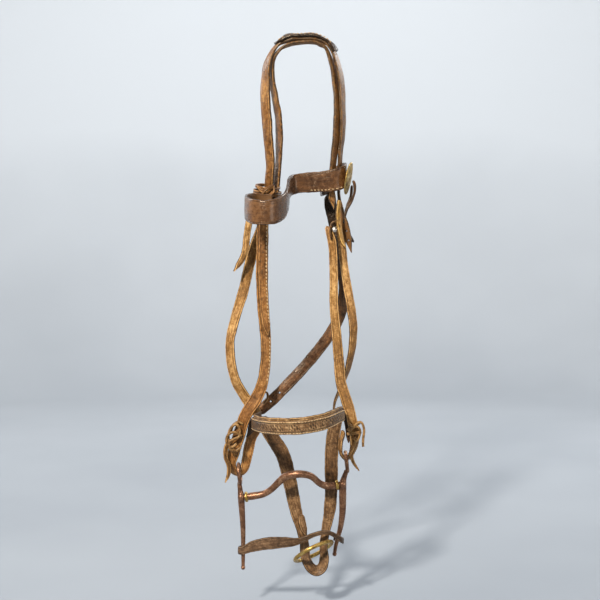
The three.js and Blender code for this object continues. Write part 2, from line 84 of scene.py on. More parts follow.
# ---- routes: x, y, z of the strap's middle, its turn in degrees and its width, in millimetres ----
ROUTES = {
    "crown_strap": [
        [-50, 3, -204, 0, 12], [-48.5, 3, -176, -25, 11.5], [-46.5, 1, -148, -42, 13.5],
        [-49, 0, -116, -48, 16], [-51.5, 0, -81, -50, 17.5], [-52.5, 0, -46, -56, 18],
        [-48.5, 0, -20, -66, 18], [-38, 0, -3, -76, 18], [-24, 0, 3.6, -86, 18], [-9, 0, 5, -90, 18],
        [9, 0, 5, -92, 18], [25, 0, -2.1, -102, 18], [36, 0, -24, -110, 18], [41.5, 0, -56, -113, 17],
        [42.4, 0, -103, -108, 16], [39, 0, -144, -104, 13], [37.5, 2, -163, -100, 12],
        [37.5, 4, -182, -90, 11], [40, 5, -200, -70, 11], [46, 2, -222, -40, 11],
        [50, -1, -240, -30, 10], [54, -4, -257, -20, 6]],
    "crown_lining": [
        [-45, 11, -204, -10, 11], [-40.5, 11, -176, -40, 12], [-37, 11, -148, -62, 14],
        [-35.3, 10, -117, -62, 16], [-36.8, 8, -90, -64, 16], [-41, 6, -62, -66, 16],
        [-45, 4, -40, -68, 16], [-43, 2, -20, -74, 16], [-34.3, 0, -6.7, -80, 16],
        [-23, 0, -0.9, -87, 16], [-9, 0, 1.35, -90, 16], [9, 0, 1.35, -90, 16],
        [14, 0, -0.9, -93, 16], [22.3, 0, -6.4, -99, 16], [31.2, -1, -31, -112, 16],
        [35.2, -4, -65, -116, 16], [35.5, -6, -103, -118, 16], [31.6, -7, -140, -118, 14],
        [29.5, -7.5, -160, -118, 12], [29, -8, -178, -122, 11], [30, -8, -192, -160, 10],
        [32, -9, -204, -180, 3]],
    "crown_cap": [
        [-41.5, 0, 0.1, -76, 19], [-25.6, 0, 7.9, -85, 20], [-9, 0, 9.6, -90, 20], [9, 0, 9.7, -92, 20],
        [25, 0, 2.9, -100, 20], [34.2, 0, -9, -106, 20]],
    "left_cheek": [
        [-54, -6, -178, 0, 15], [-54.5, -6, -192, 0, 15], [-56, -7, -220, 0, 15],
        [-56.5, -8, -248, 0, 15], [-57, -7, -291, 4, 15], [-55.5, -6, -329, 10, 14.5],
        [-53, -6, -360, 25, 14], [-52.5, -7, -386, 30, 14], [-54.5, -9, -408, 22, 14],
        [-58.5, -12, -425, 8, 14.5], [-65.5, -14, -440, -5, 15.5], [-73.5, -15, -452, -12, 15.5],
        [-79.5, -15, -464, -16, 15.5], [-84, -15, -478, -18, 15.5], [-88.5, -14, -493, -20, 15.5],
        [-92.9, -12, -508, -24, 14.6], [-96, -9.5, -520, -34, 12.4], [-93.8, -6.5, -529.5, -62, 11.4],
        [-87, -4, -534, -90, 11], [-80.6, -2, -530, -112, 11], [-77, -0.5, -517, -138, 12.5],
        [-73.8, 1, -501, -152, 13.5], [-69.5, 2.5, -487, -158, 13], [-62, 5, -478, -162, 12]],
    "left_outer": [
        [-50, 16.5, -188, 0, 12], [-52, 16, -206, 5, 12], [-57, 11.5, -222, 10, 12],
        [-63, 6, -239, 15, 13], [-69, 4, -256, 15, 13], [-74.5, 4, -278, 10, 13],
        [-81, 2, -306, 5, 13], [-90, 0, -336, -15, 12.5], [-97, -2, -366, -25, 12.5],
        [-96, -2, -394, -25, 13], [-90, 1, -419, -15, 13], [-80, 5, -438, 0, 13],
        [-72, 7, -450, 5, 13], [-62, 8, -462, 10, 13]],
    "left_tail": [
        [-69.5, -22, -201, 0, 8], [-71, -21.5, -213, 0, 8.5], [-73.5, -20, -226, 0, 8.5],
        [-75.5, -17, -239, 0, 8.5], [-77, -14.5, -251, 8, 8.5], [-80, -13.5, -262, 18, 8],
        [-86, -14, -272, 28, 7], [-92, -16, -280, 35, 4]],
    "browband": [
        [19, -13.4, -173, 0, 26], [17, 2, -174, 0, 26], [23, 14, -171, 0, 27], [35, 17, -164, 0, 27],
        [43, 12, -159, 0, 27], [46.2, 0, -159, 0, 27], [43, -13, -164, 0, 27],
        [34, -18.6, -168, 0, 27], [20, -18.6, -170, 0, 26], [4, -18.6, -171, 0, 24.5],
        [-9, -18.8, -172, 0, 24], [-18, -22, -174, 0, 24], [-23, -37, -178, 0, 24.5],
        [-24, -68, -189, 0, 26], [-27, -102, -201, 0, 27], [-36, -123, -209, 0, 27.5],
        [-49, -130, -211.5, 0, 27.5], [-63, -122, -210, 0, 27.5], [-71, -98, -206, 0, 27.5],
        [-73, -68, -202, 0, 27], [-71.5, -45, -199.5, 0, 27], [-64, -33, -198.5, 0, 26.5],
        [-53, -30, -198.5, 0, 25.5], [-44, -30, -199, 0, 24]],
    "noseband": [
        [-59, -8, -464, 0, 18], [-62, -22, -463.5, 0, 18], [-65, -40, -463, 0, 19],
        [-56, -65, -462, 0, 19.5], [-36, -88, -460, 0, 20], [-8, -99, -457.5, 0, 20],
        [19, -88, -454, 0, 20], [35, -64, -451, 0, 19], [40.5, -41, -453, 0, 18],
        [39.5, -22, -457, 0, 17], [37, -8, -460, 0, 17]],
    "left_tab": [
        [-64, -5, -463, 20, 12], [-68, -6, -471, 25, 12], [-72, -7, -480, 30, 10], [-77, -8, -488, 35, 8]],
    "right_tab": [
        [43, -3, -452, 10, 11], [48, -4, -463, 15, 9], [51, -6, -480, 15, 8], [51, -7, -495, 15, 7]],
    "right_cheek": [
        [30, 0, -232, -60, 12], [27, -4, -226, -60, 12], [26.5, -9, -231, -40, 11.5],
        [30.5, -10, -248, -15, 11], [32, -9, -285, -5, 10.5], [32.3, -8, -322, -5, 11],
        [35.7, -8, -360, 0, 12], [38.5, -8, -391, 5, 13], [41, -10, -418, 10, 13.5],
        [47.5, -12, -440, 15, 14], [53, -13, -458, 20, 14], [57, -13, -479, 28, 13],
        [58, -10, -497, 50, 12], [54.5, -6, -509, 78, 10.6], [48.6, -4, -516, 90, 9.4],
        [42.2, -2.8, -509.5, 98, 9.4], [42, 0, -496, 105, 11], [44, 3, -486, 110, 11],
        [43, 4, -481, 110, 10]],
    "right_outer": [
        [39, 11, -222, 20, 11], [41.5, 6, -240, 20, 11], [44.5, 5, -269, 15, 11],
        [49, 3, -298, 10, 11], [53.5, 1, -324, 15, 11.5], [56.5, -1, -349, 30, 12],
        [56, -1, -373, 40, 12], [51.5, 1, -396, 50, 12], [46, 4, -415, 60, 12],
        [39.5, 6, -431, 70, 12], [34, 7, -445, 80, 11], [32.5, 7.5, -459, 85, 10]],
    "throat": [
        [28, 22.6, -183, -4, 15], [29, 22, -200, -3, 15], [33, 21.5, -220, 0, 14],
        [38, 22, -247, 0, 14], [44, 23, -277, 10, 14], [46, 26, -307, 20, 14],
        [43, 28, -332, 20, 14.5], [32, 28, -356, 0, 14.5], [15, 28, -380, 0, 14.5],
        [-6, 26, -405, 0, 14.5], [-26, 23, -426, 0, 14.5], [-43, 20, -443, 0, 14.5],
        [-55, 18.3, -453.5, 0, 14], [-64, 17.6, -461, 0, 13]],
    "chin": [
        [-60, 12.4, -465, 10, 15], [-58, 13, -470, 10, 17], [-45, 13, -492, 5, 18], [-31, 13, -516, 0, 18],
        [-22.5, 13, -550, 0, 17.5], [-16, 13, -582, 10, 16], [-9, 12, -609, 28, 13],
        [-4.5, 9, -628, 36, 13], [-2.5, 5, -645, 52, 13.5], [3.5, 2, -656, 78, 14],
        [11.5, 1, -660, 90, 14.5], [18.5, 2, -655.5, 102, 14], [21, 4.5, -644, 128, 12.5],
        [20.3, 8, -630, 145, 11], [23.2, 12, -611, 156, 12], [28, 13, -585, 175, 15],
        [30, 13, -557, 180, 16], [30, 13, -521, 180, 17], [32, 13, -492, 180, 17], [36, 14, -470, 180, 16],
        [36.5, 14.6, -460.5, 180, 14.5]],
    "chin_lap": [
        [-9, 9.6, -590, 14, 8], [-6, 8.6, -605, 25, 10], [-2, 6.5, -619, 40, 8]],
    "hobble": [
        [-76, 10.4, -633, 0, 9], [-82, 9.8, -634, 0, 9], [-86.8, 3.5, -634.5, 0, 10],
        [-82, -2.8, -633, 0, 10], [-68, -8, -626, 0, 14], [-50, -13, -621, 0, 15.5],
        [-31, -12, -620, 0, 14], [-16, -6, -621, 0, 10], [-4, -3, -618, 0, 7], [8, -4, -612.5, 0, 6],
        [22, -3, -609.8, 0, 5.6], [32, 0.5, -613.5, 0, 5.6], [42, 7, -622, 0, 7], [44.5, 17, -626, 0, 8],
        [40, 25, -625.5, 0, 7], [33.5, 26.5, -625, 0, 7]],
    "mouthpiece": [
        [-81, -4, -564.7], [-68, -4, -563], [-55, -5, -560], [-45, -8, -553], [-36, -13, -543],
        [-27, -17, -535], [-16, -20, -532], [-5, -20, -532], [5, -16, -536], [14, -10, -545],
        [23, -5, -550], [32, -4, -550], [41, -4, -548.2]],
    "left_shank": [
        [-85.7, -4, -545], [-86, -4, -547.5], [-85, -4, -556], [-84, -4, -565], [-83, -2, -583],
        [-82, 2, -608],
        [-82, 3.5, -634], [-82, 1, -656]],
    "right_shank": [
        [47.7, -4, -530], [48, -4, -532.5], [45.5, -4, -540], [44, -4, -548], [44, -1, -565], [44, 4, -585],
        [42, 10, -605], [39, 15, -620], [36, 18, -633], [34.5, 18.5, -644]],
    "left_bow": [
        [-83, -20, -498], [-90, -21, -502], [-97, -21, -495], [-98.5, -20, -484], [-95, -19, -474],
        [-89, -19, -469.5], [-84.5, -20, -475], [-85.5, -22, -484], [-91, -23, -487], [-97.5, -24, -491],
        [-96, -24, -500], [-89, -22, -503]],
    "left_turns": [
        [-82, -20, -484], [-88, -23.5, -479], [-95, -24, -479], [-100.5, -23, -485], [-100, -22, -494],
        [-94, -23, -497], [-88, -24, -493]],
    "left_tuck": [
        [-80, -17, -470], [-86, -18, -467], [-93, -18, -471], [-96, -18, -480]],
    "left_end": [
        [-97, -22, -488, 20, 5.5], [-101.5, -21, -499, 10, 6], [-102, -19, -511, 0, 5.5],
        [-98.5, -17, -522, 10, 5.5], [-99, -17, -533, 20, 5], [-103, -18, -543, 25, 2.5]],
    "right_bow": [
        [52, -18, -478], [57, -21, -472], [62, -21, -467], [67, -20, -468], [69.5, -19, -477],
        [68.5, -18, -488], [68.5, -17.5, -498]],
    "right_turns": [
        [50, -17, -468], [55, -20, -473], [60.5, -20.5, -472], [64.5, -19, -477], [63, -18, -487],
        [57.5, -17, -494]],
    "right_end": [
        [57, -17, -486, 30, 4.5], [60, -16, -493, 30, 4.5], [57, -14, -502, 20, 4.5],
        [54.5, -13, -511, 10, 4.5], [57.5, -13, -520, -10, 4], [64, -14, -529, -25, 2.2]],
    "right_fold": [
        [29, -13, -241, 90, 8], [27, -13, -231, 90, 9], [29.5, -13, -221.5, 90, 9],
        [34.5, -13, -219.5, 90, 9], [38, -13, -225, 90, 8], [37, -13, -234, 90, 6]],
    "right_flap": [
        [38.4, -11, -193, 50, 7], [36.7, -13, -211, 50, 8], [38.4, -15, -227, 48, 8],
        [41.8, -16, -242, 46, 7], [45.6, -16, -252, 44, 4]],
    "curl": [
        [54.8, -12, -169], [57, -13, -172], [57.4, -12, -182], [53.5, -11, -194], [48, -12, -204],
        [44.5, -13, -215]],
    "curl_return": [
        [54.4, -5, -174], [53, -6, -187], [49, -7, -198], [46, -9, -209]],
    "tip": [
        [57, 4, -244], [54, 8, -238], [50, 10, -232]],
    "tie": [
        [-62, -17, -176], [-55, -19, -183], [-49, -20, -187], [-42, -18, -182], [-43, -17, -175],
        [-51, -23, -180], [-59, -20, -189]],
    "throat_lace": [
        [-56, 0, -447], [-51, 6, -441], [-52, 10, -434], [-59, 12, -436]],
}

# Extra turn about a strap's own run, in degrees for each point of its route
ROLLS = {
    "left_cheek": [0] * 14 + [-4, -12, -28, -45, -55, -45, -28, -12, -4, 0],
    "right_cheek": [0] * 11 + [8, 20, 30, 28, 10, 2, 0, 0],
    "chin": [0] * 7 + [8, 24, 44, 54, 46, 26, 8, 0] + [0] * 6,
}

# Radius of each shank at the points of its route, from the eye down
GIRTHS = {
    "left": [2.4, 2.7, 3.3, 4.4, 3.9, 3.2, 2.6, 2.2],
    "right": [2.4, 2.8, 3.4, 4.7, 4.7, 4.2, 3.5, 2.9, 2.5, 2.2],
}


# ---- curves ----
def catmull(points, places):
    """Uniform Catmull-Rom through the points, at places from 0 to the last point's number."""
    p = np.asarray(points, float)
    p = np.vstack([2 * p[0] - p[1], p, 2 * p[-1] - p[-2]])
    places = np.clip(places, 0, len(points) - 1)
    i = np.minimum(places.astype(int), len(points) - 2)
    t = (places - i)[:, None]
    p0, p1, p2, p3 = p[i], p[i + 1], p[i + 2], p[i + 3]
    m1, m2 = 0.5 * (p2 - p0), 0.5 * (p3 - p1)
    return (2 * t**3 - 3 * t**2 + 1) * p1 + (t**3 - 2 * t**2 + t) * m1 \
        + (-2 * t**3 + 3 * t**2) * p2 + (t**3 - t**2) * m2


def unit(v):
    """The vector, or each row of vectors, at length 1."""
    return v / np.linalg.norm(v, axis=-1, keepdims=True)


def circle(sides):
    """Angles round a full circle, an even step apart."""
    return np.linspace(0, 2 * math.pi, sides, endpoint=False)


def basis(axis):
    """Three directions at right angles, the first along the axis."""
    axis = unit(np.asarray(axis, float))
    side = unit(np.cross(axis, Y if abs(axis[1]) < 0.9 else Z))
    return axis, side, np.cross(axis, side)


class Path:
    """Stations an even distance apart along a route, with the frame of a strap at each. Millimetres.

    A route of bare points gets the constant width given, and a twist that runs from one angle to another.
    roll turns the strap about its own run: one angle in degrees for each point of the route.
    """

    def __init__(self, points, flat=X, pitch=1.5, first=0, last=None, lift=0.0, slide=0.0, trim=0.0,
                 width=3.6, twist=(0, 0), roll=None):
        last = len(points) - 1 if last is None else last
        if len(points[0]) == 3:
            turns = np.linspace(*twist, len(points))
            points = [[*point, turn, width] for point, turn in zip(points, turns)]
        full = np.array(points, float)
        dense = np.linspace(first, last, int((last - first) * 60) + 1)
        way = catmull(full[:, :3], dense)
        run = np.concatenate([[0], np.cumsum(np.linalg.norm(np.diff(way, axis=0), axis=1))])
        count = max(8, int(run[-1] / pitch))
        self.s = np.linspace(0, run[-1], count + 1)
        self.places = np.interp(self.s, run, dense)
        self.length = run[-1]
        self.centre = catmull(full[:, :3], self.places)
        ahead, behind = (catmull(full[:, :3], self.places + step) for step in (1e-3, -1e-3))
        self.tangent = unit(ahead - behind)
        form = catmull(full[:, 3:5], self.places)
        turn = np.radians(form[:, :1])
        across = np.cos(turn) * flat + np.sin(turn) * Y
        across = across - self.tangent * np.sum(across * self.tangent, axis=1, keepdims=True)
        self.across = unit(across)
        if roll is not None:
            lean = np.radians(np.interp(self.places, range(len(roll)), roll))[:, None]
            self.across = np.cos(lean) * self.across + np.sin(lean) * np.cross(self.tangent, self.across)
        self.through = np.cross(self.tangent, self.across)
        self.width = form[:, 1] - trim
        self.centre = self.centre + self.through * lift + self.across * slide

    def run(self, place):
        """Distance along at a place counted in route points."""
        return float(np.interp(place, self.places, self.s))

    def at(self, s):
        """Centre, across, through, tangent and width at a distance along."""
        pick = [np.array([np.interp(s, self.s, a[:, k]) for k in range(3)])
                for a in (self.centre, self.across, self.through, self.tangent)]
        return (*pick, float(np.interp(s, self.s, self.width)))


def drift(s, seed, waves):
    """A smooth wandering number along a strap: a few sines with seeded phases."""
    rng = np.random.default_rng(seed)
    total = np.zeros_like(s)
    for length, size in waves:
        total += size * np.sin(2 * np.pi * s / length + rng.uniform(0, 2 * np.pi))
    return total


# ---- mesh building ----
LAYERS = ("across", "side", "along", "edge")  # what a strap's vertices know: place across, face, run, rim


def ring_profile(columns=10, corner=4):
    """A strap's section from -1 to 1 both ways: list of (flat part across, corner cos, corner sin)."""
    bend = np.linspace(math.pi / 2, -math.pi / 2, corner * 2 + 1)[1:-1]
    top = [(x, 0.0, 1.0) for x in np.linspace(-1, 1, columns + 1)]
    right = [(1.0, math.cos(a), math.sin(a)) for a in bend]
    bottom = [(x, 0.0, -1.0) for x in np.linspace(1, -1, columns + 1)]
    left = [(-1.0, -math.cos(a), math.sin(a)) for a in -bend]
    return np.array(top + right + bottom + left)


def mesh_object(name, verts, faces, layers=None, unit_length=MM):
    """A smooth-shaded object from vertices in millimetres, with a number per vertex in each layer."""
    mesh = bpy.data.meshes.new(name)
    mesh.from_pydata([tuple(v) for v in np.reshape(verts, (-1, 3)) * unit_length], [], faces)
    for key, values in (layers or {}).items():
        layer = mesh.attributes.new(key, "FLOAT", "POINT")
        layer.data.foreach_set("value", np.ravel(np.asarray(values, np.float32)))
    mesh.polygons.foreach_set("use_smooth", [True] * len(mesh.polygons))
    mesh.validate()
    obj = bpy.data.objects.new(name, mesh)
    bpy.context.scene.collection.objects.link(obj)
    return obj


def loft(rows, ring, loop=False, flip=False):
    """Faces of a tube whose sections are rows of `ring` points: capped at its ends, or closed to a loop."""
    faces = []
    for i in range(rows if loop else rows - 1):
        here, there = i * ring, (i + 1) % rows * ring
        faces += [(here + j, here + (j + 1) % ring, there + (j + 1) % ring, there + j) for j in range(ring)]
    if not loop:
        faces += [tuple(range(ring - 1, -1, -1)), tuple((rows - 1) * ring + j for j in range(ring))]
    return [tuple(reversed(face)) for face in faces] if flip else faces


def end_shape(path, ends):
    """How much of its width the strap keeps near each end."""
    keep = np.ones_like(path.s)
    for kind, distance in zip(ends, (path.s, path.length - path.s)):
        reach = {"round": 0.5, "point": 1.1, "cut": 0.0}[kind] * max(path.width.mean(), 1)
        if not reach:
            continue
        part = np.clip(distance / reach, 0, 1)
        shape = np.sqrt(np.clip(1 - (1 - part) ** 2, 0, 1)) if kind == "round" else part**0.75
        keep = np.minimum(keep, 0.12 + 0.88 * shape)
    return keep


def strap(name, path, thickness, seed=1, cup=0.25, wave=0.35, frill=0.02, ends=("cut", "cut"), corner=0.42,
          columns=12, creases=0.0, face=1, ridge=0.0):
    """A leather strap with rounded edges, a slight cup, a hand-worn waver and soft creases.

    face is 1 when the grain side looks along `through`, and -1 when it looks the other way.
    """
    profile = ring_profile(columns)
    keep = end_shape(path, ends)
    half = 0.5 * path.width * (1 + frill * drift(path.s, seed, [(9, 0.5), (23, 0.8), (41, 0.6)])) * keep
    bend = wave * drift(path.s, seed + 1, [(27, 0.35), (48, 0.5), (83, 0.6)])
    curl = cup * (1 + 0.5 * drift(path.s, seed + 2, [(31, 0.7), (67, 0.6)]))
    tilt = 0.35 * wave * drift(path.s, seed + 3, [(19, 0.5), (37, 0.6)])
    crease = np.zeros_like(path.s)
    if creases:
        rng = np.random.default_rng(seed + 9)
        for place in rng.uniform(0, path.length, int(path.length / 14)):
            crease -= creases * rng.uniform(0.3, 1) * np.exp(-((path.s - place) / rng.uniform(0.5, 1.1)) ** 2)
    radius = np.minimum(corner * thickness, half * 0.9)
    half, bend, curl, tilt, crease, radius = (a[:, None] for a in (half, bend, curl, tilt, crease, radius))
    flat = (half - radius) * profile[:, 0] + radius * profile[:, 1]
    reach = flat / np.maximum(half, 1e-6)
    roof = ridge * (1 - np.abs(reach + 0.25) / 1.25)
    lift = face * (curl * (1 - reach**2) + roof) + bend + tilt * reach
    skin = 0.5 * thickness - radius * (1 - np.abs(profile[:, 2]))
    high = np.where(profile[:, 2] >= 0, 1, -1) * skin
    high = high + np.where(profile[:, 1] == 0, crease * np.sign(profile[:, 2]), 0)
    verts = path.centre[:, None] + flat[..., None] * path.across[:, None] \
        + (high + lift)[..., None] * path.through[:, None]
    layers = {"across": reach, "side": np.tile(profile[:, 2] * face, (len(path.s), 1)),
              "along": np.repeat(path.s, len(profile)) * MM, "edge": (half - np.abs(flat)) * MM}
    return mesh_object(name, verts, loft(len(path.s), len(profile), flip=True), layers)


def bar(name, path, radius, sides=16):
    """A round rod along a path. radius has one number for each station."""
    angle = circle(sides)[:, None]
    outward = np.cos(angle) * path.across[:, None] + np.sin(angle) * path.through[:, None]
    verts = path.centre[:, None] + radius[:, None, None] * outward
    return mesh_object(name, verts, loft(len(path.s), sides, flip=True))


def stitches(name, path, across, start, stop, pitch=4.6, length=3.1, thick=0.75, lift=1.6, slant=0.2, seed=4):
    """A row of thread stitches that lie on a strap's face. across is from -1 to 1."""
    rng = np.random.default_rng(seed)
    shape = [(0, 0.15), (0.08, 0.7), (0.3, 1.0), (0.7, 1.0), (0.92, 0.7), (1, 0.15)]  # place, fatness
    sides = 8
    verts, faces = [], []
    s = start
    while s + length < stop:
        a0, c0, n0, t0, w0 = path.at(s)
        a1, c1, n1, t1, w1 = path.at(s + length)
        side = 0.5 * across * 0.5 * (w0 + w1)
        begin = a0 + c0 * (side - slant) + n0 * lift
        end = a1 + c1 * (side + slant) + n1 * lift
        base = len(verts)
        for part, fat in shape:
            arch = math.sin(math.pi * part) * 0.28 * np.sign(lift) - 0.18 * np.sign(lift)
            mid = begin + (end - begin) * part + n0 * arch
            for a in circle(sides):
                verts.append(mid + thick * fat * (math.cos(a) * c0 + 0.75 * math.sin(a) * n0))
        faces += [tuple(base + v for v in face) for face in loft(len(shape), sides, flip=True)]
        s += pitch * rng.uniform(0.94, 1.06)
    return mesh_object(name, verts, faces)


def lathe(name, profile, centre, axis, sides=64):
    """A turned piece. profile: [distance along the axis, radius], both ends on the axis."""
    axis, side, up = basis(axis)
    angle = circle(sides)[:, None]
    rows = [np.asarray(centre) + h * axis + r * (np.cos(angle) * side + np.sin(angle) * up)
            for h, r in profile]
    return tidy(mesh_object(name, rows, loft(len(rows), sides)))


def tidy(obj, merge=1e-5):
    """Welds doubled points and points every face outwards."""
    work = bmesh.new()
    work.from_mesh(obj.data)
    bmesh.ops.remove_doubles(work, verts=work.verts, dist=merge)
    bmesh.ops.recalc_face_normals(work, faces=work.faces)
    work.to_mesh(obj.data)
    work.free()
    return obj


def apply_modifiers(obj):
    """Turns what an object's modifiers make into its own mesh."""
    bpy.context.view_layer.update()
    graph = bpy.context.evaluated_depsgraph_get()
    mesh = bpy.data.meshes.new_from_object(obj.evaluated_get(graph))
    old = obj.data
    obj.modifiers.clear()
    obj.data = mesh
    bpy.data.meshes.remove(old)
    return obj


def torus(name, centre, radius, wire, axis, flat_by=1.0, sides=24, steps=96):
    """A ring of round wire about an axis. flat_by scales the wire's depth along the axis."""
    axis, side, up = basis(axis)
    section = circle(sides)[:, None]
    outward, sideways = radius + wire * np.cos(section), wire * flat_by * np.sin(section) * axis
    rows = [np.asarray(centre) + outward * (math.cos(a) * side + math.sin(a) * up) + sideways
            for a in circle(steps)]
    return tidy(mesh_object(name, rows, loft(steps, sides, loop=True)))


def hoop(name, centre, half_x, half_y, thickness, width, turn=(0, 0, 0), corner=0.4, seed=1, wave=0.3):
    """A closed oval loop of strap that stands with its width along Z, then turned by three angles."""
    profile = ring_profile(4)
    steps = 72
    angle = circle(steps)
    waver = wave * np.sin(angle * 2 + seed) + 0.5 * wave * np.sin(angle * 3 + 2 * seed)
    spin = np.array(Matrix.Rotation(turn[2], 3, "Z") @ Matrix.Rotation(turn[1], 3, "Y")
                    @ Matrix.Rotation(turn[0], 3, "X"))
    radius = corner * thickness
    flat = (0.5 * width - radius) * profile[:, 0] + radius * profile[:, 1]
    skin = np.where(profile[:, 2] >= 0, 1, -1) * (0.5 * thickness - radius * (1 - np.abs(profile[:, 2])))
    out = unit(np.stack([np.cos(angle) / half_x, np.sin(angle) / half_y, 0 * angle], axis=1))
    base = np.stack([half_x * np.cos(angle), half_y * np.sin(angle), waver], axis=1) + out * 0.5 * thickness
    verts = base[:, None] + flat[:, None] * Z + skin[:, None] * out[:, None]
    layers = {"across": np.tile(flat / (0.5 * width), steps), "side": np.tile(profile[:, 2], steps),
              "along": np.repeat(np.arange(steps) * 1.5 * MM, len(profile)),
              "edge": np.tile((0.5 * width - np.abs(flat)) * MM, steps)}
    verts = verts @ spin.T + np.asarray(centre)
    return tidy(mesh_object(name, verts, loft(steps, len(profile), loop=True), layers), 1e-7)


def punch(obj, path, places, radius, sides=20, depth=12):
    """Cuts round holes through the middle of a strap, at these distances along it."""
    verts, faces = [], []
    for s in places:
        centre, across, through, tangent, width = path.at(s)
        base = len(verts)
        for end in (-0.5, 0.5):
            verts += [centre + through * depth * end + radius * (math.cos(a) * tangent + math.sin(a) * across)
                      for a in circle(sides)]
        faces += [tuple(base + i for i in face) for face in loft(2, sides)]
    cutter = tidy(mesh_object("cutter", verts, faces), 1e-7)
    cut = obj.modifiers.new("cut", "BOOLEAN")
    cut.operation = "DIFFERENCE"
    cut.solver = "EXACT"
    cut.object = cutter
    apply_modifiers(obj)
    data = cutter.data
    bpy.data.objects.remove(cutter)
    bpy.data.meshes.remove(data)


def gathered(pieces):
    """Vertices in metres, faces and layers of several pieces in one. The pieces themselves are removed."""
    verts, faces, layers = [], [], {key: [] for key in LAYERS}
    for piece in pieces:
        base, mesh = len(verts), piece.data
        verts += [v.co.copy() for v in mesh.vertices]
        faces += [tuple(base + i for i in face.vertices) for face in mesh.polygons]
        for key in LAYERS:
            known = mesh.attributes.get(key)
            layers[key] += [v.value for v in known.data] if known else [0.0] * len(mesh.vertices)
        bpy.data.objects.remove(piece)
        bpy.data.meshes.remove(mesh)
    return verts, faces, layers


def joined(name, pieces):
    """One object out of several; each keeps its own closed surface and its attributes."""
    return mesh_object(name, *gathered(pieces), unit_length=1)


def thong(name, points, flat=X, width=3.8, thick=2.3, twist=(0, 0), seed=1):
    """A leather lace: a narrow strap with full round edges that twists as it goes."""
    path = Path(points, flat, 0.7, width=width, twist=twist)
    return strap(name, path, thick, seed, cup=0.1, wave=0.12, frill=0.06, ends=TAPER, corner=0.48, columns=4)


def forged(name, pieces, voxel=0.45, smooth=6):
    """Joins solids into one forging: remeshed together and smoothed, so that fillets form between them."""
    verts, faces, _ = gathered(pieces)
    obj = mesh_object(name, verts, faces, unit_length=1)
    remesh = obj.modifiers.new("remesh", "REMESH")
    remesh.mode = "VOXEL"
    remesh.voxel_size = voxel * MM
    remesh.use_smooth_shade = True
    relax = obj.modifiers.new("relax", "SMOOTH")
    relax.factor = 0.5
    relax.iterations = smooth
    return apply_modifiers(obj)


# ---- materials ----
class Tree:
    """Short hands for building a node tree."""

    def __init__(self, name):
        self.material = bpy.data.materials.new(name)
        self.material.use_nodes = True
        self.nodes = self.material.node_tree.nodes
        self.links = self.material.node_tree.links
        self.shader = self.nodes["Principled BSDF"]
        self.object = self.add("ShaderNodeTexCoord", "Object")

    def add(self, kind, output, inputs=None, **settings):
        """One output of a new node, once the node's settings and inputs are in."""
        node = self.nodes.new(kind)
        for key, value in settings.items():
            setattr(node, key, value)
        for key, value in (inputs or {}).items():
            self.put(value, node.inputs[key])
        return node.outputs[output]

    def put(self, value, socket):
        if isinstance(value, bpy.types.NodeSocket):
            self.links.new(value, socket)
        else:
            socket.default_value = value

    def math(self, operation, a, b=0.0, clamp=False):
        return self.add("ShaderNodeMath", 0, {0: a, 1: b}, operation=operation, use_clamp=clamp)

    def plus(self, a, b, clamp=False):
        return self.math("ADD", a, b, clamp)

    def minus(self, a, b):
        return self.math("SUBTRACT", a, b)

    def times(self, a, b):
        return self.math("MULTIPLY", a, b)

    def size(self, a):
        return self.math("ABSOLUTE", a)

    def weigh(self, *parts):
        """The sum of several values, each given with its weight."""
        total = self.times(*parts[0])
        for part in parts[1:]:
            total = self.plus(total, self.times(*part))
        return total

    def noise(self, vector, scale, detail=4.0, rough=0.55, distortion=0.0):
        return self.add("ShaderNodeTexNoise", "Fac", {"Vector": vector, "Scale": scale, "Detail": detail,
                                                      "Roughness": rough, "Distortion": distortion})

    def voronoi(self, vector, scale, feature="F1"):
        return self.add("ShaderNodeTexVoronoi", "Distance", {"Vector": vector, "Scale": scale},
                        feature=feature)

    def attribute(self, name):
        return self.add("ShaderNodeAttribute", "Fac", attribute_name=name)

    def remap(self, value, low, high, to_low=0.0, to_high=1.0):
        return self.add("ShaderNodeMapRange", "Result", {0: value, 1: low, 2: high, 3: to_low, 4: to_high},
                        clamp=True)

    def ramp(self, value, stops):
        node = self.nodes.new("ShaderNodeValToRGB")
        self.put(value, node.inputs["Fac"])
        ramp = node.color_ramp
        while len(ramp.elements) < len(stops):
            ramp.elements.new(0.5)
        for element, (place, colour) in zip(ramp.elements, stops):
            element.position = place
            element.color = (*colour, 1)
        return node.outputs["Color"]

    def mix(self, factor, a, b):
        a, b = ((*value, 1) if isinstance(value, tuple) else value for value in (a, b))
        return self.add("ShaderNodeMix", 2, {0: factor, 6: a, 7: b}, data_type="RGBA")

    def vector(self, x, y, z=0.0):
        return self.add("ShaderNodeCombineXYZ", "Vector", {"X": x, "Y": y, "Z": z})

    def bump(self, height, strength, distance, normal=None):
        inputs = {"Height": height, "Strength": strength, "Distance": distance}
        if normal is not None:
            inputs["Normal"] = normal
        return self.add("ShaderNodeBump", "Normal", inputs)

    def done(self, **sockets):
        """Fills the shader's sockets, named with _ for each space, and gives the material."""
        for key, value in sockets.items():
            self.put(value, self.shader.inputs[key.replace("_", " ")])
        return self.material


def linear(r, g, b):
    """An sRGB colour from 0 to 255 as linear light."""
    return tuple((c / 255 / 12.92) if c <= 10 else ((c / 255 + 0.055) / 1.055) ** 2.4 for c in (r, g, b))


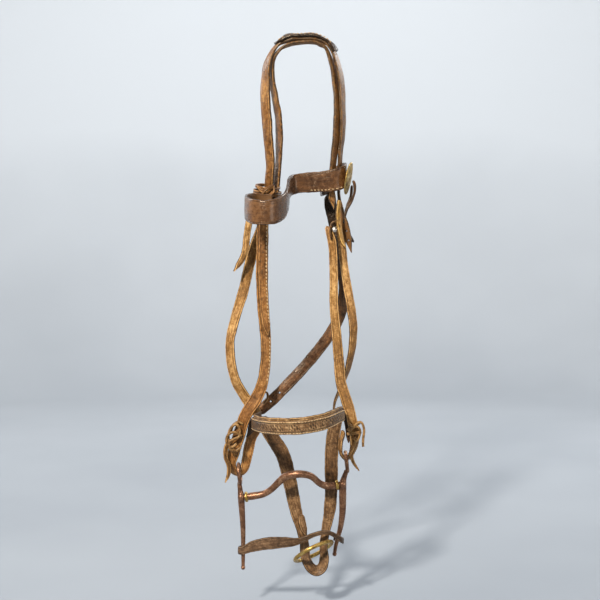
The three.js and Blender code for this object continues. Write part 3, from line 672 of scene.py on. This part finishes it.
def leather(name, dark, mid, light, flesh, roughness=0.4, cracks=0.5, wear_and_sheen=0.6, coat=0.04, shift=0.0,
            tooled=False, shaded_start=None, burnish_and_shade=0.95):
    """Old strap leather: blotched, streaked along its length, cracked across, pale on its edges from rubbed
    wear with a painted edge highlight, with painted shade on its edge sides and in its crease lines.
    """
    t = Tree(name)
    dark, mid, light, flesh = (linear(*colour) for colour in (dark, mid, light, flesh))
    away = (shift, shift * 0.7, shift * 1.3)
    where = t.add("ShaderNodeVectorMath", "Vector", {0: t.object, 1: away}, operation="ADD")
    along, across = t.attribute("along"), t.attribute("across")
    edge, side = t.attribute("edge"), t.attribute("side")
    near = tuple(0.4 * c for c in dark)

    # colour of the grain side: large blotches, small spots and streaks along the strap
    blotch = t.noise(where, 16.0, 4.0, 0.6)
    spots = t.noise(where, 210.0, 4.0, 0.7)
    streak_at = t.vector(t.times(along, 34.0), t.times(across, 2.4), shift)
    streak = t.noise(streak_at, 1.8, 5.0, 0.65, 0.3)
    tone = t.weigh((blotch, 0.34), (spots, 0.36), (streak, 0.3))
    colour = t.ramp(tone, [(0.37, dark), (0.5, mid), (0.63, light)])

    # cracks across the strap, in patches
    crack_at = t.vector(t.times(along, 420.0), t.times(across, 2.6), shift)
    line = t.remap(t.voronoi(crack_at, 1.0, "DISTANCE_TO_EDGE"), 0.0, 0.12, 1.0, 0.0)
    patch = t.remap(t.noise(where, 55.0, 3.0), 0.45, 0.6)
    line = t.times(line, t.times(patch, cracks))
    colour = t.mix(t.times(line, 0.8), colour, near)

    # painted shade in the crease line beside each edge, and pale corners from rubbed wear with a painted edge
    # highlight
    groove = t.remap(t.size(t.minus(edge, 0.0021)), 0.0001, 0.0005, 1.0, 0.0)
    # painted shade: the crease line beside each edge is darkened towards near-black
    colour = t.mix(t.times(groove, 0.72), colour, near)
    # pale corners: rubbed wear together with a painted edge highlight, lightened towards a brighter copy of
    # the light colour
    rub_and_sheen = t.remap(edge, 0.0005, 0.0016, 1.0, 0.0)
    rub_and_sheen = t.times(rub_and_sheen, t.remap(t.noise(where, 130.0, 4.0, 0.7), 0.40, 0.55))
    colour = t.mix(t.times(rub_and_sheen, wear_and_sheen), colour, tuple(min(1, 1.25 * c) for c in light))

    # the fuzzy flesh side, and the dark edge between the two sides: a burnished edge darkened further as
    # painted shade
    fibre_at = t.vector(t.times(along, 260.0), t.times(across, 9.0), shift)
    fibre = t.noise(fibre_at, 2.0, 5.0, 0.7)
    back = t.remap(side, -0.75, -0.98)
    fuzz = t.ramp(t.weigh((fibre, 0.5), (blotch, 0.5)),
                  [(0.38, tuple(0.45 * c for c in flesh)), (0.6, flesh)])
    colour = t.mix(back, colour, fuzz)
    # painted shade: the edge sides between the two faces are darkened on top of the burnish
    rim = t.remap(t.size(side), 0.97, 0.7)
    edge_tone = t.ramp(t.noise(where, 320.0, 3.0), [(0.35, near), (0.55, dark), (0.7, mid)])
    colour = t.mix(t.times(rim, burnish_and_shade), colour, edge_tone)

    # height: fine grain and pores, soft dents, folds along the strap, cracks and crease line
    grain = t.voronoi(where, 1300.0)
    pores = t.noise(where, 2600.0, 3.0)
    fine = t.weigh((grain, 0.5), (pores, 0.3), (t.times(back, fibre), 1.5))
    dents = t.noise(where, 330.0, 3.0, 0.6)
    coarse = t.minus(t.weigh((dents, 0.9), (streak, 0.9)), t.weigh((line, 0.8), (groove, 0.9)))
    # painted shade: the first stretch of the strap, up to the distances given, is darkened towards near-black
    if shaded_start:
        colour = t.mix(t.remap(along, shaded_start[0], shaded_start[1], 0.9, 0.0), colour, near)
    if tooled:
        colour, coarse = tooling(t, along, across, colour, coarse, near)
    normal = t.bump(coarse, 0.6, 0.0008, t.bump(fine, 0.4, 0.0003))

    # gloss: waxed where handled, dull on the flesh side and in the cracks
    gloss = t.remap(t.plus(spots, t.times(blotch, 0.6)), 0.65, 0.95, roughness - 0.1, roughness + 0.14)
    gloss = t.plus(gloss, t.times(back, 0.3))
    gloss = t.plus(gloss, t.times(line, 0.25), clamp=True)
    return t.done(Base_Color=colour, Normal=normal, Roughness=gloss, Specular_IOR_Level=0.42,
                  Specular_Tint=(1.0, 0.8, 0.58, 1), Coat_Weight=coat, Coat_Roughness=0.25)


def tooling(t, along, across, colour, height, near):
    """A plain stamped pattern down the middle of a strap: rows of small wedges, worn away in places."""
    row = t.size(across)
    inside = t.remap(row, 0.42, 0.5, 1.0, 0.0)
    wave = t.math("SINE", t.times(along, 2200.0))
    other = t.math("SINE", t.plus(t.times(along, 1370.0), t.times(across, 9.0)))
    stamp = t.remap(t.plus(wave, other), 0.0, 0.5)
    worn = t.remap(t.noise(t.object, 90.0, 3.0), 0.34, 0.48)
    stamp = t.times(t.times(stamp, inside), worn)
    border = t.remap(t.size(t.minus(row, 0.6)), 0.02, 0.08, 1.0, 0.0)
    stamp = t.math("MAXIMUM", stamp, border)
    colour = t.mix(t.times(stamp, 0.8), colour, near)
    return colour, t.minus(height, t.times(stamp, 1.2))


def iron(name):
    """Forged iron under a brown patina, rubbed bright where it is handled."""
    t = Tree(name)
    patches = t.noise(t.object, 90.0, 6.0, 0.65)
    fine = t.noise(t.object, 700.0, 5.0, 0.7)
    tone = t.weigh((patches, 0.6), (fine, 0.4))
    colour = t.ramp(tone, [(0.36, linear(58, 38, 28)), (0.5, linear(128, 88, 62)),
                           (0.68, linear(196, 158, 124))])
    pits = t.voronoi(t.object, 420.0)
    height = t.plus(t.times(pits, 0.5), fine)
    return t.done(Base_Color=colour, Metallic=t.remap(tone, 0.36, 0.66, 0.55, 0.9),
                  Roughness=t.remap(fine, 0.3, 0.7, 0.26, 0.5), Normal=t.bump(height, 0.5, 0.0004))


def brass(name):
    """Old brass: warm metal under a brown-green tarnish."""
    t = Tree(name)
    patches = t.noise(t.object, 120.0, 6.0, 0.6)
    fine = t.noise(t.object, 900.0, 4.0, 0.6)
    tone = t.weigh((patches, 0.7), (fine, 0.3))
    colour = t.ramp(tone, [(0.36, linear(92, 70, 34)), (0.48, linear(172, 138, 72)),
                           (0.66, linear(226, 194, 122))])
    return t.done(Base_Color=colour, Metallic=t.remap(tone, 0.4, 0.6, 0.8, 1.0),
                  Roughness=t.remap(tone, 0.4, 0.62, 0.5, 0.25), Normal=t.bump(fine, 0.35, 0.0003))


def steel(name):
    """A small bright stud, worn and slightly pitted."""
    t = Tree(name)
    fine = t.noise(t.object, 1200.0, 4.0)
    colour = t.ramp(fine, [(0.3, linear(170, 160, 148)), (0.7, linear(236, 230, 220))])
    return t.done(Base_Color=colour, Metallic=0.9, Roughness=0.32, Normal=t.bump(fine, 0.3, 0.0002))


def thread(name):
    """Waxed linen thread, pale on its high sides."""
    t = Tree(name)
    twist = t.add("ShaderNodeTexWave", "Fac", {"Vector": t.object, "Scale": 900.0, "Distortion": 2.0})
    colour = t.ramp(twist, [(0.2, linear(150, 112, 70)), (0.8, linear(226, 196, 146))])
    return t.done(Base_Color=colour, Normal=t.bump(twist, 0.5, 0.0002), Roughness=0.7)


def backdrop_paper(name):
    """Pale paper with painted shade: a little deeper in tone on the floor and at the front of the room, with
    a faint random mottle.
    """
    t = Tree(name)
    depth, rise = (t.add("ShaderNodeSeparateXYZ", key, {"Vector": t.object}) for key in "YZ")
    rise, depth = t.remap(rise, -0.72, 0.3), t.remap(depth, -1.2, 1.6)
    # painted shade: darker low down and towards the front, lighter up the wall and at the back
    tone = t.weigh((rise, 0.45), (depth, 0.35), (t.noise(t.object, 1.4, 3.0), 0.2))
    colour = t.ramp(tone, [(0.1, linear(112, 120, 130)), (0.85, linear(206, 211, 216))])
    return t.done(Base_Color=colour, Roughness=0.9)


# A finish is a material and the slot of the part's record that it belongs to.
TAN = (leather("tan_leather", (58, 34, 14), (140, 97, 48), (216, 170, 108), (112, 75, 36), 0.38,
               wear_and_sheen=0.9), "tan_leather")
STITCHED = (leather("stitched_leather", (50, 28, 11), (128, 82, 38), (194, 142, 82), (98, 62, 29), 0.38,
                    wear_and_sheen=0.95, shift=0.23), "tan_leather")
CROWN = (leather("crown_leather", (42, 23, 8), (116, 74, 33), (182, 134, 76), (124, 82, 40), 0.36,
                 wear_and_sheen=0.95, shift=0.31), "crown_leather")
BROWN = (leather("brown_leather", (34, 21, 12), (100, 70, 43), (170, 132, 90), (98, 68, 40), 0.42,
                 cracks=0.8, shift=0.57), "brown_leather")
DARK = (leather("dark_leather", (12, 7, 4), (44, 26, 14), (108, 70, 38), (58, 37, 21), 0.34,
                coat=0.1, shift=0.83), "dark_leather")
# the throat strap's top end carries painted shade
THROAT = (leather("throat_leather", (24, 13, 7), (84, 52, 29), (160, 110, 66), (78, 51, 30), 0.32,
                  cracks=0.4, wear_and_sheen=0.8, coat=0.1, shift=0.79, shaded_start=(0.08, 0.2)), "dark_leather")
BAND = (leather("band_leather", (44, 26, 14), (84, 54, 30), (120, 82, 47), (102, 68, 36), 0.24,
                cracks=0.2, coat=0.3, shift=0.17), "band_leather")
NOSE = (leather("nose_leather", (32, 20, 10), (112, 79, 47), (196, 156, 106), (100, 70, 41), 0.4,
                cracks=0.7, wear_and_sheen=1.0, shift=0.67), "band_leather")
PANEL = (leather("panel_leather", (30, 19, 11), (110, 79, 50), (188, 152, 108), (100, 70, 41), 0.38,
                 cracks=0.3, wear_and_sheen=1.0, shift=0.73, tooled=True), "band_leather")
HOBBLE = (leather("hobble_leather", (28, 18, 11), (84, 60, 41), (142, 110, 80), (92, 64, 40), 0.4,
                  cracks=0.8, shift=0.61), "brown_leather")
LACING = (leather("lace_leather", (54, 33, 15), (128, 88, 45), (198, 152, 92), (104, 69, 35), 0.42,
                  cracks=0.2, shift=0.41, burnish_and_shade=0.45), "lace_leather")
TIE = (leather("tie_leather", (40, 23, 10), (106, 67, 31), (176, 126, 70), (98, 62, 29), 0.4,
               cracks=0.2, shift=0.47, burnish_and_shade=0.6), "lace_leather")
# a lighter copy of the tan leather as a painted highlight, for the lit crown end on the right
LIT_TAN = (leather("lit_tan_leather", (92, 60, 20), (172, 124, 52), (226, 184, 106), (122, 84, 40), 0.4,
                  cracks=0.3, wear_and_sheen=0.9, shift=0.91), "tan_leather")
IRON = (iron("bit_iron"), "bit_iron")
BRASS = (brass("old_brass"), "brass")
STEEL = (steel("bright_stud"), "bit_iron")
THREAD = (thread("waxed_thread"), "lace_leather")


# ---- putting pieces in ----
def put(obj, body, finish, *nodes):
    """Gives a piece the material of its finish and its body, and hides the CAD parts that it stands for."""
    material, slot = finish
    obj.data.materials.clear()
    obj.data.materials.append(material)
    if nodes:
        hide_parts(*nodes)
    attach(obj, body)


def lay(name, route, body, finish, *nodes, seed, thickness=THIN, flat=X, pitch=1.5, **shape):
    """Puts in a strap that follows one route from end to end. shape goes on to strap()."""
    path = Path(ROUTES[route], flat, pitch, roll=ROLLS.get(route))
    put(strap(name, path, thickness, seed, **shape), body, finish, *nodes)


# ---- the room ----
def camera():
    """Straight in front of the piece and a little above it, taking in HALF_VIEW to each side."""
    way = Vector((0, -math.cos(CAMERA_HEIGHT), math.sin(CAMERA_HEIGHT)))
    data = bpy.data.cameras.new("camera")
    data.sensor_width = SENSOR
    data.lens = SENSOR / 2 * CAMERA_DISTANCE / HALF_VIEW
    obj = bpy.data.objects.new("camera", data)
    bpy.context.scene.collection.objects.link(obj)
    obj.location = Vector(CAMERA_AIM) + CAMERA_DISTANCE * way
    obj.rotation_euler = (math.radians(90) - CAMERA_HEIGHT, 0, 0)
    bpy.context.scene.camera = obj


def area_light(name, place, target, size, power, colour=(1, 1, 1)):
    """A round soft light that shines at the target."""
    data = bpy.data.lights.new(name, "AREA")
    data.shape = "DISK"
    data.size = size
    data.energy = power
    data.color = colour
    obj = bpy.data.objects.new(name, data)
    bpy.context.scene.collection.objects.link(obj)
    obj.location = place
    obj.rotation_euler = (Vector(place) - Vector(target)).to_track_quat("Z", "Y").to_euler()


def studio():
    """A round pale floor that sweeps up into a wall all round, and soft lights."""
    low = cad_box[0][2] - FLOOR_DROP
    profile = [(0.0, 0.0), (FLOOR_RADIUS * 0.5, 0.0), (FLOOR_RADIUS, 0.0)]
    for a in np.linspace(0, math.pi / 2, 17)[1:]:
        profile.append((FLOOR_RADIUS + SWEEP_RADIUS * math.sin(a), SWEEP_RADIUS * (1 - math.cos(a))))
    profile.append((FLOOR_RADIUS + SWEEP_RADIUS, WALL_TOP))
    sides, caps = 96, 2
    verts = [(r * math.cos(a), r * math.sin(a), low + h) for r, h in profile for a in circle(sides)]
    paper = tidy(mesh_object("studio_floor", verts, loft(len(profile), sides)[:-caps], unit_length=1))
    paper.data.materials.append(backdrop_paper("pale_paper"))
    middle = (0, 0, -0.32)
    area_light("key", (-0.75, -1.7, 0.95), middle, 0.24, 84, (1, 0.95, 0.88))
    area_light("fill", (1.5, -1.3, -0.1), middle, 0.8, 8, (1, 0.97, 0.94))
    area_light("rim_left", (-1.3, 0.9, 0.5), middle, 0.5, 8)
    area_light("rim_right", (1.2, 1.0, 0.6), middle, 0.5, 12)
    area_light("top", (0, 0.7, 2.2), (0, 0.9, 0), 2.2, 29)
    area_light("backdrop", (0, 1.3, 1.0), (0, 2.6, -0.4), 1.0, 9)
    world = bpy.data.worlds.new("studio")
    world.use_nodes = True
    sky = world.node_tree.nodes["Background"]
    sky.inputs["Color"].default_value = (0.93, 0.96, 1.0, 1)
    sky.inputs["Strength"].default_value = 0.08
    bpy.context.scene.world = world
    bpy.context.scene.view_settings.view_transform = "Standard"


# ---- the headcollar ----
def crown():
    path = Path(ROUTES["crown_strap"])
    outer = strap("crown_strap_leather", path, LEATHER, 11, cup=0.5, ends=TAPER, face=-1, ridge=1.2)
    punch(outer, path, [path.length - 16 - HOLE_GAP * k for k in range(3)], 1.3)
    put(outer, "root", CROWN, "crown_strap")
    lay("crown_lining_leather", "crown_lining", "root", CROWN, "crown_lining", seed=12, thickness=LEATHER,
        cup=0.3, ends=TAPER, face=-1, ridge=0.6)
    path = Path(ROUTES["crown_cap"], trim=-3, lift=1.2)
    put(strap("crown_cap_leather", path, LEATHER, 13, wave=0.15, cup=2.6, face=-1, ends=("round", "cut")),
        "root", DARK, "crown_cap")
    rows = [stitches("row", path, side, 6, path.length - 6, lift=-2.9) for side in (-0.74, 0.74)]
    put(joined("crown_cap_stitches", rows), "root", THREAD)


def left_side():
    lay("left_cheek_leather", "left_cheek", "root", STITCHED, "left_cheek_strap", seed=21, wave=0.25,
        ends=ROUND)
    lining = Path(ROUTES["left_cheek"], first=1, last=6, lift=THIN + 3 * AIR, trim=3.4, slide=1.1)
    put(strap("left_cheek_lining_leather", lining, THIN, 22, ends=TAPER, wave=0.25, cup=0.5),
        "root", STITCHED, "left_cheek_lining")
    cheek = Path(ROUTES["left_cheek"])
    rows = [stitches("row", lining, 0.72, 6, lining.length - 14, lift=1.55),
            stitches("row", cheek, 0.7, cheek.run(6.1), cheek.run(8.6), lift=1.5, seed=5)]
    put(joined("left_cheek_stitches", rows), "root", THREAD)
    lay("left_outer_leather", "left_outer", "root", TAN, "left_outer_strap", seed=23, cup=0.7,
        ends=("cut", "round"))
    lay("left_tail_leather", "left_tail", "root", TAN, "left_tail", seed=24, pitch=1, cup=0.8, ends=CUT_TAPER)
    put(thong("left_tie_knot", ROUTES["tie"], Z, twist=(0, 60)), "root", TIE, "left_tie_lace")
    put(hoop("left_tie_band", (-50.5, 4.5, -182), 16, 18.5, LACE, 5, (0.12, 0.1, 0), seed=3), "root", TIE,
        "left_tie_loop")
    turns = [hoop("turn", (-50, 3.5, z), 13.5, 15.5, WRAP, 4, (lean, 0.1, 0), 0.48, seed)
             for z, lean, seed in ((-175.5, 0.2, 1), (-188, -0.14, 2))]
    put(joined("left_tie_turns", turns), "root", TIE)


def right_side():
    lay("right_cheek_leather", "right_cheek", "root", TAN, "right_cheek_strap", seed=31, cup=0.5, ends=ROUND)
    lay("right_cheek_eye", "right_fold", "root", STITCHED, seed=35, pitch=0.8, ends=TAPER)
    dome = [(0, 0), (0, 3.0), (0.5, 3.8), (1.4, 3.7), (2.5, 2.6), (3.1, 0)]
    put(lathe("right_cheek_stud", dome, STUD_CENTRE, STUD_AXIS, 28), "root", STEEL)
    # the right crown end wears the painted-highlight copy of the tan leather
    lay("right_crown_end", "right_flap", "root", LIT_TAN, seed=36, cup=0.5, ends=CUT_TAPER)
    lay("right_outer_leather", "right_outer", "root", TAN, "right_outer_strap", seed=32, cup=0.7, ends=ROUND)
    put(thong("right_lace_end", ROUTES["tip"], width=3, thick=2.2), "root", DARK, "right_lace_tip")
    path = Path(ROUTES["throat"])
    throat = strap("throat_leather", path, THROAT_THICK, 33, cup=0.8, ends=ROUND, corner=0.48)
    punch(throat, path, [path.length - 22, path.length - 38], 1.1)
    put(throat, "root", THROAT, "throat_strap")
    put(thong("throat_lacing", ROUTES["throat_lace"], width=3, thick=2.2), "root", LACING, "throat_lace")


def browband():
    lay("browband_leather", "browband", "browband", BAND, "browband", seed=41, thickness=LEATHER, flat=Z,
        cup=0.5, wave=0.3, face=-1)
    band = Path(ROUTES["browband"], Z)
    row = stitches("browband_stitches", band, -0.8, band.run(6.6), band.run(9.3), pitch=4.2, length=2.4,
                   lift=-1.9, thick=0.6)
    put(row, "browband", THREAD)
    put(hoop("browband_keeper", (-50.5, 0, -201.5), 19, 24, THIN, 18, (0.04, 0.06, 0), seed=2), "browband",
        BAND, "browband_left_loop")
    put(thong("rosette_lacing", ROUTES["curl"], width=3.4, thick=2.6), "browband", DARK, "rosette_lace")
    put(thong("rosette_lacing_end", ROUTES["curl_return"], width=3.2, thick=2.4), "browband", DARK,
        "rosette_lace_end")
    put(rosette(), "browband", BRASS, "rosette")


def rosette():
    """A domed brass disc with a beaded border and shallow flutes, facing along its axis."""
    flutes, flute_depth, beads, bead_depth = 16, 0.35 * MM, 48, 0.25 * MM
    inner, outer, face = 7, 17, 0.5 * MM
    profile = [(0, 0), (0, 18.8), (0.2, 19.7), (0.9, 20), (1.6, 19.6), (1.8, 18.6), (1.4, 17.4), (1.7, 16.6),
               (2.0, 15), (2.5, 12), (2.9, 9), (3.0, 7), (2.7, 6), (3.1, 4.6), (3.7, 2.4), (3.9, 0)]
    obj = lathe("brass_rosette", profile, (0, 0, 0), X, 160)
    axis = unit(np.array([math.cos(ROSETTE_LEAN), ROSETTE_YAW, -math.sin(ROSETTE_LEAN)]))
    side = unit(np.cross((math.sin(ROSETTE_LEAN), 0, math.cos(ROSETTE_LEAN)), axis))
    spin = Matrix((axis, side, np.cross(axis, side))).transposed()
    for v in obj.data.vertices:
        r, angle = math.hypot(v.co.y, v.co.z) / MM, math.atan2(v.co.z, v.co.y)
        if v.co.x > face and inner < r < outer:
            swell = math.sin(math.pi * (r - inner) / (outer - inner))
            v.co.x += flute_depth * swell * math.cos(flutes * angle)
        elif v.co.x > face and r >= outer:
            v.co.x += bead_depth * math.cos(beads * angle)
        v.co = spin @ v.co + Vector(ROSETTE_CENTRE) * MM
    return obj


def noseband():
    lay("noseband_leather", "noseband", "root", NOSE, "noseband", seed=51, flat=Z, cup=0.15, wave=0.2)
    panel = Path(ROUTES["noseband"], Z, first=2, last=8, lift=THIN + AIR, trim=4.5, slide=-1.6)
    put(strap("noseband_panel_leather", panel, THIN, 52, cup=0.15, wave=0.15), "root", PANEL,
        "noseband_panel")
    rows = [stitches("row", panel, side, 2, panel.length - 2, pitch=3.4, length=2.2, lift=1.3, thick=0.45,
                     slant=0.1) for side in (-0.82, 0.82)]
    put(joined("noseband_stitches", rows), "root", THREAD)
    for side, seed in (("left", 53), ("right", 54)):
        lay(f"noseband_{side}_tab_leather", f"{side}_tab", "root", DARK, f"noseband_{side}_tab", seed=seed,
            pitch=1, ends=TAPER)


def knots():
    """The laces that tie each cheek strap to itself above the bit: loops, a tail, and turns on the right."""
    pieces = [thong("bow", ROUTES["left_bow"], Y, 5, 3.4, (60, 110), 63),
              thong("turns", ROUTES["left_turns"], Y, 4.8, 3.2, (40, 100), 65),
              thong("tuck", ROUTES["left_tuck"], Y, 5, 3, (70, 90), 67)]
    put(joined("left_bow", pieces), "root", LACING, "left_bow_lace")
    lay("left_bow_tails", "left_end", "root", LACING, "left_bow_ends", seed=61, thickness=2.4, pitch=0.8,
        ends=TAPER, cup=0.4, corner=0.48)
    pieces = [thong("bow", ROUTES["right_bow"], Y, 4.6, 3, (50, 90), 64),
              thong("turns", ROUTES["right_turns"], Y, 4.4, 2.8, (40, 90), 66)]
    put(joined("right_bow", pieces), "root", LACING, "right_bow_lace")
    lay("right_bow_tails", "right_end", "root", LACING, "right_bow_ends", seed=62, thickness=2.2, pitch=0.8,
        ends=TAPER, cup=0.4, corner=0.48)
    turns = [hoop("turn", (x, -13.5, z), 7.4, 4.4, WRAP, 3.8, (0.1, lean, -0.4), 0.48, seed, 0.6)
             for x, z, lean, seed in ((56.5, -473, -0.55, 4), (57.5, -481, -0.2, 5))]
    put(joined("bit_strap_turns", turns), "root", LACING)


def shank(side, eye, boss):
    """A shank forged in one with its eye, the boss that takes the mouthpiece, and a ball foot."""
    route, girth = ROUTES[side + "_shank"], GIRTHS[side]
    path = Path(route, pitch=0.8)
    barrel = [(-4.2, 0), (-4, 3.2), (-2.8, 5.6), (0, 6.6), (2.8, 5.6), (4, 3.2), (4.2, 0)]
    ball = [(-3, 0), (-2.4, 1.9), (0, 3.0), (2.4, 1.9), (3, 0)]
    pieces = [bar("rod", path, np.interp(path.places, range(len(girth)), girth), 24),
              torus("ring", eye, EYE_RADIUS, EYE_WIRE, SWING), lathe("boss", barrel, boss, SWING),
              lathe("foot", ball, route[-1], Z)]
    put(forged(f"{side}_shank_iron", pieces), "bit", IRON, f"bit_{side}_shank")


def bit():
    shank("left", (-86, -4, -534.5), (-84, -4, -564.5))
    shank("right", (48.5, -4, -519.5), (44, -4, -548))
    path = Path(ROUTES["mouthpiece"], Z, 0.8)
    radius = BOSS + 0.4 * np.cos(path.s / path.length * 4 * math.pi)
    neck = np.clip(np.minimum(path.s, path.length - path.s) / 9, 0, 1)
    put(bar("mouthpiece_iron", path, STEM + (radius - STEM) * neck, 32), "bit", IRON, "bit_mouthpiece")
    for side, place, lean in (("left", (-77.4, -4, -564.3), -0.12), ("right", (37, -4, -549), -0.15)):
        collar = torus(f"{side}_collar_brass", place, COLLAR_RADIUS, COLLAR_WIRE,
                       (math.cos(lean), 0, -math.sin(lean)), 1.3, 20, 48)
        put(collar, "bit", BRASS, f"bit_{side}_collar")
    lay("hobble_leather", "hobble", "bit", HOBBLE, "hobble_strap", seed=71, flat=Z, wave=0.4, cup=0.6)


def chin():
    lay("chin_leather", "chin", "chin", BROWN, "chin_strap", seed=81, wave=0.5, creases=0.2, cup=0.3,
        ends=ROUND)
    lay("chin_lap_leather", "chin_lap", "chin", BROWN, "chin_lap", seed=82, pitch=1, cup=0.8, ends=TAPER)
    axis = Matrix.Rotation(RING_LEAN, 3, "X") @ Matrix.Rotation(RING_TILT, 3, "Y") @ Vector((0, 0, 1))
    put(torus("lead_ring_brass", RING_CENTRE, RING_RADIUS, RING_WIRE, tuple(axis), 0.9, 32, 128), "ring",
        BRASS, "lead_ring")


camera()
studio()
crown()
left_side()
right_side()
browband()
noseband()
knots()
bit()
chin()
